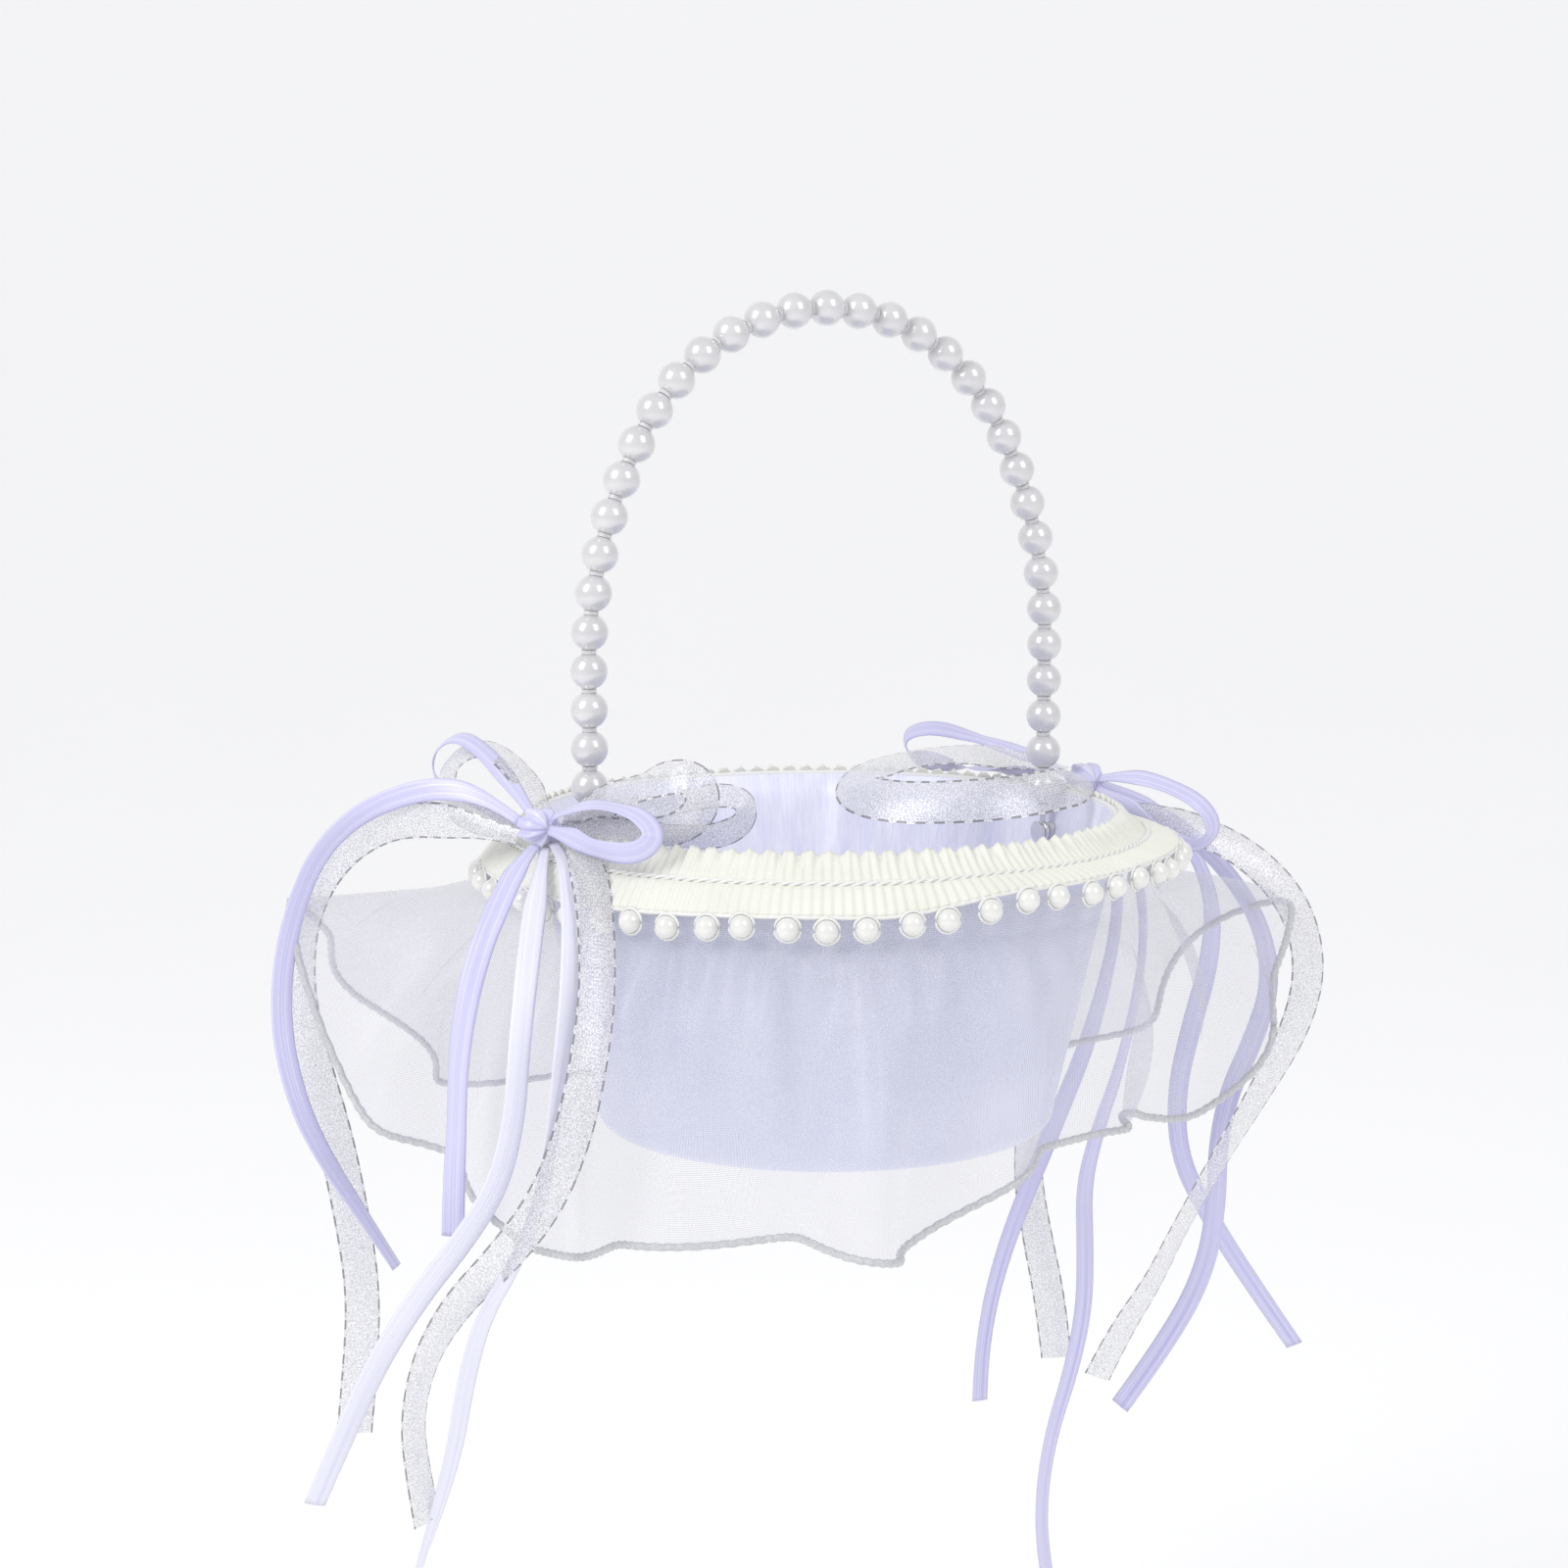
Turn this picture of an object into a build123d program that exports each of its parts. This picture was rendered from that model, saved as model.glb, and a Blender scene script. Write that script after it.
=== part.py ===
from build123d import *
import os
from math import radians, sin, cos, tan, pi

# Flower girl basket, millimetres, +Z up. The origin is the centre of the handle's wire at the top
# of the arch, where a hand holds it. The arch stands in the XZ plane, one foot at each end of X.

# handle
handle_span = 147.0          # between the two legs' centres
crown_radius = 66.0          # of the round top of the arch
crown_angle = 60.0           # each side of the top, degrees
wire_diameter = 1.6
pearl_diameter = 10.0
pearl_pitch = 10.35
pearl_bore = 2.1
pearls_each_side = 17        # on each side of the one at the top
spacer_diameter = 4.0
spacer_clearance = 0.08      # to the pearls at both ends
crimp_diameter = 3.2
crimp_length = 3.0

# pivots at the feet
pivot_drop = 150.0           # below the top of the arch
rivet_diameter = 3.0
rivet_clearance = 0.05       # radial, in the wire's eye
rivet_head_diameter = 6.0
rivet_head_height = 1.0
side_clearance = 0.3         # between the eye and what lies beside it
bush_wall = 1.0

# bowl
rim_drop = 140.0             # top edge of the bowl, below the top of the arch
rim_radius = 80.0            # inside of the shell at its top edge
wall_slope = 0.2326          # how much the radius shrinks for each millimetre down
bowl_depth = 85.4            # to the underside of the shell
shell_wall = 1.4
lining_wall = 0.6
cover_wall = 0.6
base_board_thickness = 2.0
base_corner = 4.0
skin_gap = 0.02              # between the layers of the wall

# rim
hoop_diameter = 2.0
braid_wall = 2.2
braid_width = 17.5           # down the slope of the collar
braid_flare = 47.0           # degrees from straight down
braid_cord_diameter = 1.6
braid_cord_share = 0.42      # how far down the collar the stitched cord lies
trim_pearl_diameter = 6.0
trim_pearl_count = 58
trim_bore = 1.0
trim_thread_diameter = 0.8
trim_gap = 0.3               # between the braid's lower edge and the pearls

# ruffle
ruffle_wall = 0.8
hem_wall = 2.0
heading_height = 9.5         # gathered edge of the cloth, flat against the braid's inner face
heading_clearance = 0.3      # to the braid's inner face
trim_clearance = 0.6         # between the trim's pearls and the cloth that turns out below them
ruffle_bulge = 7.0           # how far the cloth stands out half way down

# The hem's outline: degrees round from +X, radius, depth below the top of the arch.
hem = [
    (0, 124, 196), (15, 116, 222), (30, 118, 234), (45, 114, 240), (60, 112, 240), (75, 114, 240),
    (90, 118, 238), (105, 122, 234), (120, 128, 226), (133, 138, 206), (146, 149, 180), (156, 144, 172),
    (166, 128, 206), (177, 122, 222), (190, 118, 234), (203, 113, 238), (216, 110, 236), (229, 108, 231),
    (242, 110, 234), (255, 108, 232), (268, 100, 220), (281, 96, 212), (294, 98, 212), (307, 101, 216),
    (320, 108, 216), (333, 126, 192), (346, 136, 182),
]

# bows
knot_size = (13.0, 11.0, 10.0)
knot_reach = 88.5            # from the basket's axis to the middle of each knot
knot_drop = 137.0
ribbon_section = 2.0         # diameter of the round section that stands for a flat ribbon

# Routes of the ribbons, from the knot outwards. A loop comes back to its knot.
satin_tails_left = [
    [(-92, 5, -135), (-98, 13, -129), (-106, 23, -127), (-115, 33, -130), (-124, 41, -136),
      (-132, 47, -146),
     (-138, 49, -160), (-142, 50, -177), (-143, 49, -196), (-140, 45, -215), (-134, 41, -230),
     (-126, 35, -245), (-119, 29, -259)],
    [(-92, -5, -140), (-101, -12, -144), (-109, -19, -151), (-117, -24, -161), (-123, -27, -175),
      (-126, -28, -191),
     (-127, -29, -207), (-128, -29, -221), (-128, -28, -235)],
    [(-90, -6, -141), (-97, -17, -147), (-105, -29, -156), (-112, -39, -169), (-117, -45, -185),
      (-120, -48, -202),
     (-124, -46, -219), (-131, -39, -234), (-139, -30, -249), (-147, -22, -267), (-154, -16, -287),
     (-160, -10, -306)],
    [(-87, -5, -140), (-91, -20, -142), (-97, -36, -151), (-104, -48, -168), (-110, -55, -184),
      (-114, -58, -202),
     (-117, -57, -220), (-122, -52, -237), (-128, -45, -252), (-131, -41, -269), (-133, -38, -288),
     (-137, -35, -305), (-141, -32, -320), (-143, -30, -333)],
]
organza_tails_left = [
    [(-93, 4, -139), (-100, 16, -137), (-108, 29, -136), (-117, 42, -139), (-126, 53, -149),
      (-132, 60, -165),
     (-134, 60, -184), (-132, 56, -203), (-128, 50, -224), (-125, 46, -246), (-123, 43, -268),
     (-124, 43, -288), (-126, 44, -309)],
    [(-84, -5, -136), (-87, -20, -139), (-91, -36, -147), (-97, -50, -168), (-104, -59, -184),
      (-110, -62, -202),
     (-117, -60, -220), (-126, -53, -235), (-134, -43, -248), (-140, -36, -263), (-143, -34, -279),
     (-142, -35, -293), (-140, -36, -306)],
]
satin_loops_left = [
    [(-88, 5, -134), (-89, 16, -126), (-92, 28, -118), (-95, 38, -115), (-99, 45, -121), (-99, 43, -129),
     (-95, 32, -133), (-91, 19, -136), (-89, 6, -138)],
    [(-88, -6, -133), (-86, -18, -128), (-83, -30, -127), (-80, -41, -128), (-79, -48, -133),
      (-83, -44, -138),
     (-88, -32, -138), (-89, -19, -136), (-89, -6, -136)],
]
organza_loops_left = [
    [(-84, 5, -134), (-84, 15, -127), (-87, 25, -120), (-92, 33, -118), (-100, 34, -124), (-102, 27, -133),
     (-96, 17, -137), (-90, 6, -137)],
    [(-84, -6, -134), (-81, -17, -129), (-76, -29, -124), (-72, -40, -119), (-67, -47, -119),
      (-65, -48, -126),
     (-69, -42, -133), (-76, -30, -135), (-82, -17, -136), (-85, -6, -137)],
    [(-82, -5, -132), (-75, -16, -130), (-66, -27, -128), (-57, -37, -124), (-50, -43, -126),
      (-50, -42, -133),
     (-57, -35, -137), (-67, -25, -136), (-76, -14, -135), (-83, -5, -136)],
]
satin_tails_right = [
    [(92, 5, -141), (101, 11, -146), (112, 19, -156), (121, 27, -171), (127, 36, -190), (129, 45, -211),
     (127, 52, -232), (122, 58, -252), (116, 62, -271), (108, 64, -290), (102, 66, -311), (99, 67, -332),
     (98, 66, -345)],
    [(93, 2, -141), (103, 6, -148), (114, 12, -159), (123, 18, -174), (129, 24, -193), (130, 30, -214),
     (128, 35, -235), (124, 40, -254), (121, 43, -272), (122, 43, -292), (122, 43, -312), (118, 44, -332),
     (112, 46, -352), (109, 47, -372), (109, 46, -392), (112, 44, -410)],
    [(92, -3, -139), (102, -9, -143), (114, -16, -151), (126, -21, -164), (136, -24, -180),
      (140, -24, -198),
     (136, -21, -215), (129, -19, -230), (125, -19, -246), (125, -19, -264), (122, -18, -284),
     (113, -13, -305), (100, -6, -326)],
    [(93, 0, -137), (104, -1, -141), (117, -2, -149), (129, -2, -162), (136, -1, -178), (137, 2, -196),
     (133, 5, -215), (129, 7, -236), (130, 6, -256), (137, 1, -273), (148, -5, -293), (161, -13, -315)],
]
organza_tails_right = [
    [(90, 6, -141), (97, 14, -146), (107, 25, -156), (115, 36, -170), (121, 47, -188), (123, 56, -209),
     (121, 62, -231), (117, 66, -252), (116, 67, -273), (119, 65, -294), (123, 63, -315), (125, 62, -334)],
    [(92, -5, -142), (101, -13, -145), (112, -23, -149), (125, -32, -157), (136, -39, -171),
      (140, -42, -189),
     (136, -41, -207), (127, -36, -226), (117, -31, -245), (107, -24, -268), (101, -20, -284),
     (93, -15, -299), (87, -12, -313)],
]
satin_loops_right = [
    [(88, 6, -136), (87, 17, -133), (83, 29, -130), (76, 40, -127), (67, 49, -124), (61, 56, -127),
     (64, 57, -134), (73, 48, -136), (82, 35, -137), (88, 20, -138), (89, 6, -139)],
    [(89, -6, -135), (93, -15, -133), (99, -25, -135), (106, -33, -140), (110, -35, -148), (106, -30, -154),
     (98, -23, -149), (92, -14, -141), (88, -6, -138)],
]
organza_loops_right = [
    [(85, -5, -135), (78, -15, -134), (64, -23, -134), (47, -25, -135), (32, -19, -136), (20, -6, -137),
     (15, 8, -136), (21, 18, -133), (36, 22, -130), (53, 23, -129), (68, 22, -130), (80, 16, -132),
      (86, 6, -134)],
]

# derived sizes
wire_radius = wire_diameter / 2
half_span = handle_span / 2
crown_x = crown_radius * sin(radians(crown_angle))
crown_drop = crown_radius * (1 - cos(radians(crown_angle)))
flank_radius = (half_span - crown_x) / (1 - sin(radians(crown_angle)))
flank_drop = crown_drop + flank_radius * cos(radians(crown_angle))
crown_length = crown_radius * radians(crown_angle)
flank_length = flank_radius * radians(90 - crown_angle)
eye_inside = rivet_diameter / 2 + rivet_clearance
eye_radius = eye_inside + wire_radius
cover_top = rim_radius + shell_wall + cover_wall + 2 * skin_gap
braid_top_radius = cover_top + 0.3
braid_low_radius = braid_top_radius + braid_width * sin(radians(braid_flare))
braid_low_drop = rim_drop + braid_width * cos(radians(braid_flare))
trim_drop = braid_low_drop + trim_gap + trim_pearl_diameter / 2
trim_radius = braid_low_radius + braid_wall / 2
gather_drop = trim_drop + trim_pearl_diameter / 2 + trim_clearance
heading_drop = gather_drop - heading_height
heading_share = (heading_drop - rim_drop) / (braid_low_drop - rim_drop)
gather_radius = braid_top_radius + heading_share * (braid_low_radius - braid_top_radius) - heading_clearance


def arch_point(s):
    """Point of the handle's centreline and its angle from level, s millimetres from the top."""
    side = 1 if s >= 0 else -1
    s = abs(s)
    if s <= crown_length:
        turn = s / crown_radius
        x = crown_radius * sin(turn)
        z = -crown_radius * (1 - cos(turn))
    elif s <= crown_length + flank_length:
        turn = radians(crown_angle) + (s - crown_length) / flank_radius
        x = crown_x + flank_radius * (sin(turn) - sin(radians(crown_angle)))
        z = -crown_drop - flank_radius * (cos(radians(crown_angle)) - cos(turn))
    else:
        turn = pi / 2
        x = half_span
        z = -flank_drop - (s - crown_length - flank_length)
    return Vector(side * x, 0, z), side * turn * 180 / pi


def along_arch(shape, s):
    """A shape made along X at the origin, moved to s on the arch."""
    point, turn = arch_point(s)
    return Location((point.X, 0, point.Z), (0, turn, 0)) * shape


def handle_wire():
    leg_end = -pivot_drop + eye_radius
    middle = arch_point(crown_length)[0]
    foot = arch_point(crown_length + flank_length)[0]
    half_flank = arch_point(crown_length + flank_length / 2)[0]
    path = []
    for side in (-1, 1):
        path.append(Line((side * half_span, 0, leg_end), (side * foot.X, 0, foot.Z)))
        path.append(ThreePointArc((side * foot.X, 0, foot.Z), (side * half_flank.X, 0, half_flank.Z),
                                  (side * middle.X, 0, middle.Z)))
    path.append(ThreePointArc((-middle.X, 0, middle.Z), (0, 0, 0), (middle.X, 0, middle.Z)))
    start = Plane(origin=(-half_span, 0, leg_end), z_dir=(0, 0, 1))
    arch = sweep(start * Circle(wire_radius), path=Wire(path))
    eyes = [Location((side * half_span, 0, -pivot_drop), (0, 90, 0)) * Torus(eye_radius, wire_radius)
            for side in (-1, 1)]
    return arch + eyes


def pearl(diameter, bore):
    return Sphere(diameter / 2) - Rotation(0, 90, 0) * Cylinder(bore / 2, 2 * diameter)


def handle_pearls():
    one = pearl(pearl_diameter, pearl_bore)
    steps = range(-pearls_each_side, pearls_each_side + 1)
    return Compound(children=[along_arch(one, k * pearl_pitch) for k in steps])


def pearl_spacers():
    rod = Cylinder(spacer_diameter / 2, pearl_pitch) - Cylinder(pearl_bore / 2, pearl_pitch)
    ring = Rotation(0, 90, 0) * rod
    ball = Sphere(pearl_diameter / 2 + spacer_clearance)
    ring = ring - Pos(-pearl_pitch / 2, 0, 0) * ball - Pos(pearl_pitch / 2, 0, 0) * ball
    steps = range(-pearls_each_side, pearls_each_side)
    return Compound(children=[along_arch(ring, (k + 0.5) * pearl_pitch) for k in steps])


def crimp(side):
    point = arch_point(side * (pearls_each_side * pearl_pitch))[0]
    top = point.Z - pearl_diameter / 2
    tube = Cylinder(crimp_diameter / 2, crimp_length) - Cylinder(wire_radius, crimp_length)
    return Pos(side * half_span, 0, top - crimp_length / 2) * tube


def wall_radius(drop, offset):
    """Radius of the bowl's wall, offset outwards from the inside of the shell."""
    return rim_radius + offset - (drop - rim_drop) * wall_slope


def cup(inner, outer, bottom_drop, bottom_wall, top_drop, hole):
    """A closed bowl between two offsets from the shell's inside, with a flat bottom and two rivet holes."""
    low_out = wall_radius(bottom_drop, outer)
    low_in = wall_radius(bottom_drop - bottom_wall, inner)
    corner = base_corner + outer
    rim_out = wall_radius(top_drop, outer)
    rim_in = wall_radius(top_drop - 1, inner)
    floor = -bottom_drop + bottom_wall
    outside = make_face(Polyline((0, -bottom_drop), (low_out, -bottom_drop), (rim_out, -top_drop),
                                 (0, -top_drop), close=True))
    low_corner = outside.vertices().filter_by(lambda v: v.X > 1 and v.Y < -top_drop - 1)
    outside = fillet(low_corner, corner)
    inside = make_face(Polyline((0, floor), (low_in, floor), (rim_in, -top_drop + 1),
                                (0, -top_drop + 1), close=True))
    low_corner = inside.vertices().filter_by(lambda v: v.X > 1 and v.Y < -top_drop - 1)
    inside = fillet(low_corner, base_corner + inner)
    solid = revolve(Plane.XZ * (outside - inside), Axis.Z)
    drill = Pos(0, 0, -pivot_drop) * Rotation(0, 90, 0) * Cylinder(hole / 2, 3 * rim_radius)
    return solid - drill


def basket_shell():
    return cup(0, shell_wall, rim_drop + bowl_depth, shell_wall, rim_drop, rivet_diameter)


def satin_lining():
    bottom = rim_drop + bowl_depth - shell_wall - base_board_thickness - skin_gap
    return cup(-lining_wall, -skin_gap, bottom, lining_wall, rim_drop, rivet_diameter)


def satin_cover():
    return cup(shell_wall + skin_gap, shell_wall + skin_gap + cover_wall,
               rim_drop + bowl_depth + cover_wall + skin_gap, cover_wall, rim_drop, rivet_diameter)


def base_board():
    top = rim_drop + bowl_depth - shell_wall - base_board_thickness
    radius = wall_radius(top + base_board_thickness, 0) - base_corner
    return Pos(0, 0, -top - base_board_thickness / 2) * Cylinder(radius, base_board_thickness)


def rim_hoop():
    radius = rim_radius + shell_wall / 2
    return Pos(0, 0, -rim_drop + hoop_diameter / 2) * Torus(radius, hoop_diameter / 2)


def collar_point(share, height):
    """Point in the collar's section: share of the way down its slope, height off its inner face."""
    flare = radians(braid_flare)
    run = share * braid_width
    radius = braid_top_radius + run * sin(flare) + height * cos(flare)
    return radius, -rim_drop - run * cos(flare) + height * sin(flare)


def rim_braid():
    section = make_face(Polyline(collar_point(0, 0), collar_point(1, 0), collar_point(1, braid_wall),
                                 collar_point(0, braid_wall), close=True))
    section = fillet(section.vertices().filter_by(lambda v: v.X > collar_point(0.9, 0)[0]), braid_wall * 0.4)
    groove = Pos(*collar_point(braid_cord_share, braid_wall)) * Circle(braid_cord_diameter / 2)
    return revolve(Plane.XZ * (section - groove), Axis.Z)


def braid_cord():
    radius, z = collar_point(braid_cord_share, braid_wall)
    return Pos(0, 0, z) * Torus(radius, braid_cord_diameter / 2)


def trim_pearls():
    one = Rotation(0, 0, 90) * pearl(trim_pearl_diameter, trim_bore)
    spots = [Rotation(0, 0, (k + 0.5) * 360 / trim_pearl_count) * Pos(trim_radius, 0, -trim_drop) * one
             for k in range(trim_pearl_count)]
    return Compound(children=spots)


def trim_thread():
    return Pos(0, 0, -trim_drop) * Torus(trim_radius, trim_thread_diameter / 2)


def ruffle_ring(share, offset):
    """Points round the ruffle, share of the way from the gathered edge to the hem.

    offset moves them outwards, and towards the hem also up by half as much.
    """
    ring = []
    for angle, radius, drop in hem:
        r = gather_radius + (radius - gather_radius) * share + ruffle_bulge * sin(pi * share) + offset
        z = -gather_drop - (drop - gather_drop) * share + offset * share / 2
        ring.append((r * cos(radians(angle)), r * sin(radians(angle)), z))
    return ring


def organza_ruffle():
    outer = [ruffle_ring(share, 0) for share in (0, 0.5, 1)]
    inner = [ruffle_ring(1, -hem_wall), ruffle_ring(0.5, -ruffle_wall), ruffle_ring(0, -ruffle_wall)]
    raised = [[(x, y, z + heading_height) for x, y, z in ring] for ring in (inner[-1], outer[0])]
    rings = outer + inner + raised
    count = len(hem)
    faces = []
    for level in range(len(rings)):
        here = rings[level]
        there = rings[(level + 1) % len(rings)]
        for k in range(count):
            n = (k + 1) % count
            # the inner face is split along the same diagonals as the outer one, so the two stay apart
            if level < len(outer):
                halves = ((here[k], here[n], there[n]), (here[k], there[n], there[k]))
            else:
                halves = ((here[k], here[n], there[k]), (here[n], there[n], there[k]))
            for corners in halves:
                faces.append(Face(Wire.make_polygon([Vector(*c) for c in corners], close=True)))
    return Solid(Shell(faces))


def foot_rivet(side):
    inner_face = half_span - wire_radius - side_clearance
    outer_face = wall_radius(pivot_drop - rivet_head_diameter / 2, shell_wall + cover_wall + 2 * skin_gap)
    shank = Rotation(0, 90, 0) * Cylinder(rivet_diameter / 2, outer_face - inner_face)
    head = Rotation(0, 90, 0) * Cylinder(rivet_head_diameter / 2, rivet_head_height)
    body = Pos((inner_face + outer_face) / 2, 0, 0) * shank
    body += Pos(inner_face - rivet_head_height / 2, 0, 0) * head
    body += Pos(outer_face + rivet_head_height / 2, 0, 0) * head
    return Rotation(0, 0, 0 if side > 0 else 180) * Pos(0, 0, -pivot_drop) * body


def foot_bush(side):
    """Tube on the rivet that keeps the eye off the lining."""
    start = half_span + wire_radius + side_clearance
    end = wall_radius(pivot_drop + rivet_diameter / 2 + bush_wall, -lining_wall) - skin_gap
    radius = rivet_diameter / 2
    tube = Rotation(0, 90, 0) * (Cylinder(radius + bush_wall, end - start) - Cylinder(radius, end - start))
    return Rotation(0, 0, 0 if side > 0 else 180) * Pos((start + end) / 2, 0, -pivot_drop) * tube


def bow_knot(side):
    block = Box(*knot_size)
    block = fillet(block.edges(), min(knot_size) * 0.35)
    return Pos(side * knot_reach, 0, -knot_drop) * block - rim_braid() - braid_cord()


def ribbon(name, route):
    """A round tube of straight runs joined by tangent arcs, as large as the runs allow."""
    points = [Vector(*p) for p in route]
    radii = []
    for before, here, after in zip(points, points[1:], points[2:]):
        turn = radians((here - before).get_angle(after - here))
        shorter = min((here - before).length, (after - here).length)
        radii.append(0.45 * shorter / tan(turn / 2))
    path = FilletPolyline(*points, radius=radii)
    start = Plane(origin=points[0], z_dir=points[1] - points[0])
    tube = sweep(start * Circle(ribbon_section / 2), path=path)
    expected = path.length * pi * (ribbon_section / 2) ** 2
    smallest = ", ".join(f"{r:.0f}" for r in sorted(radii)[:3])
    share = tube.volume / expected
    print(f"{name}: length {path.length:.0f}, smallest radii {smallest}, volume {share:.3f} of expected")
    return tube


os.makedirs("parts", exist_ok=True)
parts = {
    "handle_wire": handle_wire(),
    "handle_pearls": handle_pearls(),
    "pearl_spacers": pearl_spacers(),
    "basket_shell": basket_shell(),
    "base_board": base_board(),
    "satin_lining": satin_lining(),
    "satin_cover": satin_cover(),
    "rim_hoop": rim_hoop(),
    "rim_braid": rim_braid(),
    "braid_cord": braid_cord(),
    "trim_pearls": trim_pearls(),
    "trim_thread": trim_thread(),
    "organza_ruffle": organza_ruffle(),
}
for name, side in (("left", -1), ("right", 1)):
    parts[f"crimp_{name}"] = crimp(side)
    parts[f"foot_rivet_{name}"] = foot_rivet(side)
    parts[f"foot_bush_{name}"] = foot_bush(side)
    parts[f"bow_knot_{name}"] = bow_knot(side)

ribbons = {
    "satin_tail_left": satin_tails_left,
    "organza_tail_left": organza_tails_left,
    "satin_loop_left": satin_loops_left,
    "organza_loop_left": organza_loops_left,
    "satin_tail_right": satin_tails_right,
    "organza_tail_right": organza_tails_right,
    "satin_loop_right": satin_loops_right,
    "organza_loop_right": organza_loops_right,
}
for name, routes in ribbons.items():
    for number, route in enumerate(routes, 1):
        parts[f"{name}_{number}"] = ribbon(f"{name}_{number}", route)

for name, shape in parts.items():
    export_step(shape, f"parts/{name}.step")
print(len(parts), "parts")
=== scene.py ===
import bpy, bmesh, math
import numpy as np
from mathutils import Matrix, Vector


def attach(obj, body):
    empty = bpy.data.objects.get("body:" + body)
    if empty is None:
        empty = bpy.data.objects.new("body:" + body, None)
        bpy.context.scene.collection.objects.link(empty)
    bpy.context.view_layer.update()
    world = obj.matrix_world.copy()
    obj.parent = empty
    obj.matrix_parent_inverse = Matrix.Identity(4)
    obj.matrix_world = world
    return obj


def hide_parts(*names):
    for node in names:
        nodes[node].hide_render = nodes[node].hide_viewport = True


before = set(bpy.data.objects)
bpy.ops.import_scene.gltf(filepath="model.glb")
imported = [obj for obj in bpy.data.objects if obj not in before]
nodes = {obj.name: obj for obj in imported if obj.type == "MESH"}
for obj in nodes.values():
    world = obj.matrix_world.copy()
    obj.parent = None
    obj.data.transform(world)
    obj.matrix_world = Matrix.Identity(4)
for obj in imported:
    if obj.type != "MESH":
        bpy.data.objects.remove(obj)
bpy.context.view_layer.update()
mm = 0.001
scene = bpy.context.scene

# Angles in degrees, distance and target in metres, lens in millimetres.
view = {"azimuth": -30.5, "elevation": 8.0, "distance": 0.892, "lens": 74.25,
        "target": (-0.0135, 0.0, -0.130)}


def directionOf(azimuth, elevation):
    # unit vector from the object towards a viewer
    a, e = math.radians(azimuth), math.radians(elevation)
    return np.array([math.sin(a) * math.cos(e), -math.cos(a) * math.cos(e), math.sin(e)])


toCamera = directionOf(view["azimuth"], view["elevation"])
camera = bpy.data.objects.new("camera", bpy.data.cameras.new("camera"))
scene.collection.objects.link(camera)
camera.data.lens = view["lens"]
camera.data.sensor_width = 36.0
camera.data.clip_end = 20
camera.location = Vector(view["target"]) + Vector(toCamera) * view["distance"]
camera.rotation_euler = Vector(toCamera).to_track_quat("Z", "Y").to_euler()
scene.camera = camera


def addPiece(name, verts, faces, uv=None):
    # verts is an (n, 3) array in metres, faces an (m, 4) or (m, 3) array, uv one pair for each vertex
    mesh = bpy.data.meshes.new(name)
    mesh.from_pydata(np.asarray(verts).tolist(), [], np.asarray(faces).tolist())
    if uv is not None:
        loops = np.empty(len(mesh.loops), dtype=np.int32)
        mesh.loops.foreach_get("vertex_index", loops)
        layer = mesh.uv_layers.new(name="surface")
        layer.data.foreach_set("uv", np.asarray(uv, dtype=np.float32)[loops].ravel())
    mesh.polygons.foreach_set("use_smooth", [True] * len(mesh.polygons))
    # the rows that meet at a pole are merged, then the faces are turned outwards
    shell = bmesh.new()
    shell.from_mesh(mesh)
    bmesh.ops.remove_doubles(shell, verts=shell.verts, dist=1e-7)
    bmesh.ops.recalc_face_normals(shell, faces=shell.faces)
    shell.to_mesh(mesh)
    shell.free()
    piece = bpy.data.objects.new(name, mesh)
    scene.collection.objects.link(piece)
    return piece


def gridFaces(rows, columns, closeRows=False, closeColumns=False, otherDiagonal=False):
    # quads of a grid whose vertex (i, j) is number i * columns + j; a quad that is listed backwards is split
    # into its two triangles along its other diagonal
    i = np.arange(rows if closeRows else rows - 1)
    j = np.arange(columns if closeColumns else columns - 1)
    i, j = np.meshgrid(i, j, indexing="ij")
    n = (i + 1) % rows
    m = (j + 1) % columns
    quads = np.stack([i * columns + j, n * columns + j, n * columns + m, i * columns + m], -1).reshape(-1, 4)
    return quads[:, ::-1] if otherDiagonal else quads


def unit(v):
    return v / np.maximum(np.linalg.norm(v, axis=-1, keepdims=True), 1e-12)


def smoothstep(a, b, x):
    t = np.clip((x - a) / (b - a), 0, 1)
    return t * t * (3 - 2 * t)


def splinePoints(name, route):
    # the smooth line of a NURBS spline whose control points are the route, in millimetres
    curve = bpy.data.curves.new(name, "CURVE")
    curve.dimensions = "3D"
    curve.resolution_u = ribbonCut["splineSteps"]
    spline = curve.splines.new("NURBS")
    spline.points.add(len(route) - 1)
    for point, (x, y, z) in zip(spline.points, route):
        point.co = (x * mm, y * mm, z * mm, 1)
    spline.order_u = 3
    spline.use_endpoint_u = True
    holder = bpy.data.objects.new(name, curve)
    scene.collection.objects.link(holder)
    bpy.context.view_layer.update()
    depsgraph = bpy.context.evaluated_depsgraph_get()
    line = bpy.data.meshes.new_from_object(holder.evaluated_get(depsgraph))
    points = np.array([v.co[:] for v in line.vertices])
    bpy.data.objects.remove(holder)
    bpy.data.meshes.remove(line)
    return points


def lineTangents(points):
    return unit(np.gradient(points, axis=0))


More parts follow.
